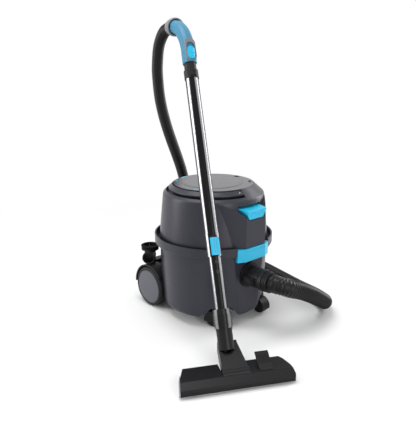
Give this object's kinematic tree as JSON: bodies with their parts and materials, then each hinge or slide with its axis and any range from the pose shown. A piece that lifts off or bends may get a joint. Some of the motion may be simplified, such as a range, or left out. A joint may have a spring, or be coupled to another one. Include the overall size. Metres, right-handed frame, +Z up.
{
  "type": "commercial tub vacuum cleaner",
  "caption": "Commercial tub vacuum cleaner: round tub with wheels and castors, lift-up motor head, hose, bent handle, telescopic wand and floor nozzle.",
  "frame": {"origin": "on the floor under the centre of the tub", "axes": "+Z up, the front of the machine faces -Y and its right side faces -X"},
  "size_m": [0.7202, 0.7622, 0.8564],
  "materials": {
    "plastic_grey": "satin",
    "plastic_top": "satin",
    "plastic_black": "satin",
    "wheel_black": "matte",
    "cap_grey": "satin",
    "cyan": "gloss",
    "teal": "soft touch",
    "cap_light": "satin",
    "tube_black": "black anodised gloss",
    "steel": "brushed",
    "copper": "varnished",
    "rubber": "matte",
    "paper": "matte",
    "bristle": "matte",
    "hose_black": "matte"
  },
  "bodies": {
    "tub": {"container": "plastic_grey", "bumper_ring": "plastic_grey", "chassis": "plastic_black", "stub_axles": "steel", "inlet_socket": "plastic_black", "hose_cuff": "plastic_black", "dust_bag": "paper", "hinge_bracket": "plastic_black", "tub_pins": "steel", "accessory_holder": "plastic_black", "wand_coupling": "plastic_black", "wand_inner_tube": "tube_black", "hose": "hose_black"},
    "head": {"head_housing": "plastic_grey", "head_seals": "rubber", "head_base": "plastic_black", "motor_filter": "paper", "motor_housing": "plastic_black", "stator": "copper", "fan_case": "plastic_black", "exhaust_tray": "plastic_black", "exhaust_filter": "paper", "top_plate": "plastic_top", "cover_catches": "cyan", "switch_module": "plastic_black", "head_pins": "steel"},
    "fan": {"fan_rotor": "steel"},
    "cover": {"filter_cover": "plastic_top"},
    "power_pedal": {"power_pedal": "cyan"},
    "carry_handle": {"carry_handle": "plastic_grey"},
    "front_latch": {"front_latch": "cyan"},
    "cuff_button": {"cuff_button": "plastic_black"},
    "right_wheel": {"wheel_right": "wheel_black", "hub_cap_right": "cap_grey"},
    "left_wheel": {"wheel_left": "wheel_black", "hub_cap_left": "cap_grey"},
    "right_castor": {"castor_fork_right": "plastic_black"},
    "right_castor_wheel": {"castor_wheel_right": "wheel_black"},
    "left_castor": {"castor_fork_left": "plastic_black"},
    "left_castor_wheel": {"castor_wheel_left": "wheel_black"},
    "brush": {"dusting_brush": "plastic_black", "brush_bristles": "bristle"},
    "upper_wand": {"wand_sleeve": "plastic_black", "wand_outer_tube": "tube_black", "handle_spigot": "plastic_black", "handle_grip": "teal", "slider_frame": "cap_light", "grip_ferrule": "plastic_black"},
    "wand_button": {"wand_button": "cyan"},
    "air_slider": {"air_slider": "cyan"},
    "swivel": {"swivel_collar": "cap_light"},
    "neck": {"nozzle_neck": "plastic_black"},
    "nozzle": {"nozzle_body": "plastic_black", "end_caps": "cap_light", "sole_plate": "steel", "nozzle_pins": "steel"},
    "nozzle_pedal": {"nozzle_pedal": "plastic_black"},
    "brush_strips": {"brush_strips": "bristle"},
    "right_roller": {"roller_right": "wheel_black"},
    "left_roller": {"roller_left": "wheel_black"}
  },
  "joints": [
    {"name": "head_hinge", "type": "hinge", "parent": "tub", "child": "head", "pos_m": [0, 0.164, 0.249], "axis": [-1, 0, 0], "range_deg": [0, 60]},
    {"name": "fan_spin", "type": "hinge", "parent": "head", "child": "fan", "pos_m": [0, 0, 0.3], "axis": [0, 0, 1], "continuous": true},
    {"name": "cover_lift", "type": "slide", "parent": "head", "child": "cover", "axis": [0, 0, 1], "range_m": [0, 0.04]},
    {"name": "power_press", "type": "hinge", "parent": "head", "child": "power_pedal", "pos_m": [0, -0.14, 0.34], "axis": [1, 0, 0], "range_deg": [0, 3.5], "stiffness_Nm_per_rad": 2, "springref_deg": -2.86},
    {"name": "carry_swing", "type": "hinge", "parent": "head", "child": "carry_handle", "pos_m": [-0.018, 0, 0.387], "axis": [0, 1, 0], "range_deg": [0, 90]},
    {"name": "latch_swing", "type": "hinge", "parent": "tub", "child": "front_latch", "pos_m": [0, -0.1635, 0.208], "axis": [1, 0, 0], "range_deg": [0, 50]},
    {"name": "cuff_press", "type": "slide", "parent": "tub", "child": "cuff_button", "axis": [1, 0, 0], "range_m": [0, 0.003], "stiffness_N_per_m": 800, "springref_m": -0.002},
    {"name": "right_wheel_spin", "type": "hinge", "parent": "tub", "child": "right_wheel", "pos_m": [-0.127, 0.14, 0.062], "axis": [-1, 0, 0], "continuous": true},
    {"name": "left_wheel_spin", "type": "hinge", "parent": "tub", "child": "left_wheel", "pos_m": [0.127, 0.14, 0.062], "axis": [1, 0, 0], "continuous": true},
    {"name": "right_castor_turn", "type": "hinge", "parent": "tub", "child": "right_castor", "pos_m": [-0.079, -0.109, 0.073], "axis": [0, 0, 1], "continuous": true},
    {"name": "right_castor_spin", "type": "hinge", "parent": "right_castor", "child": "right_castor_wheel", "pos_m": [-0.08462, -0.09509, 0.022], "axis": [-0.9272, -0.3746, 0], "continuous": true},
    {"name": "left_castor_turn", "type": "hinge", "parent": "tub", "child": "left_castor", "pos_m": [0.079, -0.109, 0.073], "axis": [0, 0, 1], "continuous": true},
    {"name": "left_castor_spin", "type": "hinge", "parent": "left_castor", "child": "left_castor_wheel", "pos_m": [0.079, -0.124, 0.022], "axis": [1, 0, 0], "continuous": true},
    {"name": "brush_lift", "type": "slide", "parent": "tub", "child": "brush", "axis": [0, 0, 1], "range_m": [0, 0.06]},
    {"name": "telescope", "type": "slide", "parent": "tub", "child": "upper_wand", "axis": [0.2026, 0.4063, 0.891], "range_m": [0, 0.25], "deforming": ["hose"]},
    {"name": "wand_release", "type": "slide", "parent": "upper_wand", "child": "wand_button", "axis": [0.2026, 0.4063, 0.891], "range_m": [0, 0.004], "stiffness_N_per_m": 500, "springref_m": -0.002},
    {"name": "air_valve", "type": "slide", "parent": "upper_wand", "child": "air_slider", "axis": [0.2026, 0.4063, 0.891], "range_m": [0, 0.012]},
    {"name": "hose_swivel", "type": "hinge", "parent": "upper_wand", "child": "swivel", "pos_m": [-0.01735, 0.14431, 0.83009], "axis": [0.3192, 0.9469, 0.0398], "continuous": true},
    {"name": "neck_turn", "type": "hinge", "parent": "tub", "child": "neck", "pos_m": [-0.222, -0.29, 0.036], "axis": [0.2026, 0.4063, 0.891], "range_deg": [-40, 40]},
    {"name": "nozzle_tilt", "type": "hinge", "parent": "neck", "child": "nozzle", "pos_m": [-0.24242, -0.33808, 0.023], "axis": [0.8788, -0.4772, 0], "range_deg": [-15, 12]},
    {"name": "brush_pedal", "type": "hinge", "parent": "nozzle", "child": "nozzle_pedal", "pos_m": [-0.17739, -0.37339, 0.027], "axis": [-0.8788, 0.4772, 0], "range_deg": [0, 8]},
    {"name": "brush_drop", "type": "slide", "parent": "nozzle", "child": "brush_strips", "axis": [0, 0, -1], "range_m": [0, 0.004]},
    {"name": "right_roller_spin", "type": "hinge", "parent": "nozzle", "child": "right_roller", "pos_m": [-0.32254, -0.25931, 0.008], "axis": [0.8788, -0.4772, 0], "continuous": true},
    {"name": "left_roller_spin", "type": "hinge", "parent": "nozzle", "child": "left_roller", "pos_m": [-0.13271, -0.36237, 0.008], "axis": [0.8788, -0.4772, 0], "continuous": true}
  ],
  "couplings": [
    {"joint": "brush_drop", "follows": "brush_pedal", "m_per_rad": 0.0286}
  ]
}
